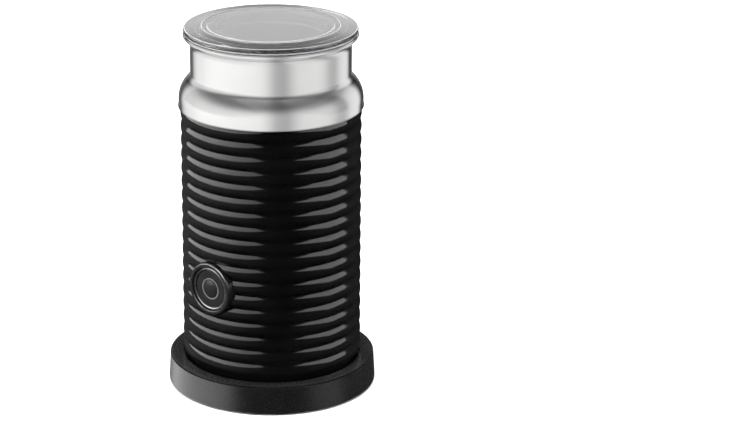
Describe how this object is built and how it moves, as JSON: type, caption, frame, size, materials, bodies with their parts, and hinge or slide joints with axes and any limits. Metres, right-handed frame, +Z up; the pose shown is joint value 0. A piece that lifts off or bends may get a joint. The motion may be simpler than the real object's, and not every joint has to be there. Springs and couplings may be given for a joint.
{
  "type": "milk frother",
  "caption": "Cordless electric milk frother: ribbed gloss black jug with steel collar, clear lid, side button and magnetic whisk, on a round power base.",
  "frame": {"origin": "bottom centre of the power base, on the surface that its feet stand on", "axes": "+Z up along the jug's axis; the button faces -Y and the cord gland faces +Y"},
  "size_m": [0.097, 0.097, 0.1714],
  "materials": {
    "matt_black_plastic": "fine satin moulding",
    "moulded_black_plastic": "moulded",
    "connector_plastic": "moulded",
    "gloss_black_plastic": "gloss",
    "housing_plastic": "half gloss",
    "button_plastic": "satin",
    "satin_steel": "satin",
    "plated_steel": "zinc plated",
    "plated_contact": "plated",
    "magnet": "nickel plated",
    "pot_coating": "non-stick coating",
    "clear_plastic": "clear",
    "grey_silicone": "soft",
    "black_rubber": "dull",
    "light_guide": "frosted",
    "white_nylon": "moulded",
    "heater_enamel": "enamelled plate",
    "circuit_board": "solder mask",
    "whisk_plastic": "satin"
  },
  "bodies": {
    "power_base": {"base_shell": "matt_black_plastic", "base_plate": "matt_black_plastic", "connector_post": "connector_plastic", "contact_ring": "plated_contact", "contact_pin": "plated_contact", "cord_gland": "black_rubber", "foot_1": "black_rubber", "foot_2": "black_rubber", "foot_3": "black_rubber", "foot_4": "black_rubber", "base_screw_1": "plated_steel", "base_screw_2": "plated_steel", "base_screw_3": "plated_steel"},
    "jug_carrier": {"jug_socket": "connector_plastic"},
    "jug": {"outer_shell": "gloss_black_plastic", "steel_collar": "satin_steel", "inner_pot": "pot_coating", "pot_gasket": "black_rubber", "bottom_cover": "moulded_black_plastic", "cover_screw_1": "plated_steel", "cover_screw_2": "plated_steel", "cover_screw_3": "plated_steel", "whisk_spindle": "satin_steel", "heater_ring": "heater_enamel", "thermal_fuse": "plated_steel", "motor_can": "plated_steel", "motor_plate": "white_nylon", "control_board": "circuit_board", "switch_body": "connector_plastic", "button_housing": "housing_plastic", "bezel_ring": "satin_steel"},
    "lid": {"lid_disc": "clear_plastic", "lid_seal": "grey_silicone"},
    "button": {"button_cap": "button_plastic", "indicator_ring": "light_guide"},
    "plunger": {"switch_plunger": "white_nylon"},
    "rotor": {"motor_shaft": "satin_steel", "magnet_carrier": "white_nylon", "drive_magnet_1": "magnet", "drive_magnet_2": "magnet"},
    "bush": {"whisk_bush": "white_nylon"},
    "whisk": {"whisk_hub": "whisk_plastic", "whisk_magnet_1": "magnet", "whisk_magnet_2": "magnet"},
    "coil": {"whisk_coil": "satin_steel"}
  },
  "joints": [
    {"name": "jug_lift", "type": "slide", "parent": "power_base", "child": "jug_carrier", "axis": [0, 0, 1], "range_m": [0, 0.04]},
    {"name": "jug_turn", "type": "hinge", "parent": "jug_carrier", "child": "jug", "pos_m": [0, 0, 0.0205], "axis": [0, 0, 1], "continuous": true},
    {"name": "lid_lift", "type": "slide", "parent": "jug", "child": "lid", "axis": [0, 0, 1], "range_m": [0, 0.04]},
    {"name": "button_press", "type": "slide", "parent": "jug", "child": "button", "axis": [0, 1, 0], "range_m": [0, 0.001], "stiffness_N_per_m": 900, "springref_m": -0.0006},
    {"name": "plunger_press", "type": "slide", "parent": "jug", "child": "plunger", "axis": [0, 1, 0], "range_m": [0, 0.001]},
    {"name": "motor_spin", "type": "hinge", "parent": "jug", "child": "rotor", "pos_m": [0, 0, 0.08], "axis": [0, 0, 1], "continuous": true},
    {"name": "whisk_lift", "type": "slide", "parent": "jug", "child": "bush", "axis": [0, 0, 1], "range_m": [0, 0.03]},
    {"name": "whisk_spin", "type": "hinge", "parent": "bush", "child": "whisk", "pos_m": [0, 0, 0.09], "axis": [0, 0, 1], "continuous": true},
    {"name": "coil_lift", "type": "slide", "parent": "whisk", "child": "coil", "axis": [0, 0, 1], "range_m": [0, 0.012]}
  ],
  "couplings": [
    {"joint": "plunger_press", "follows": "button_press", "ratio": 1},
    {"joint": "whisk_spin", "follows": "motor_spin", "ratio": 1}
  ]
}
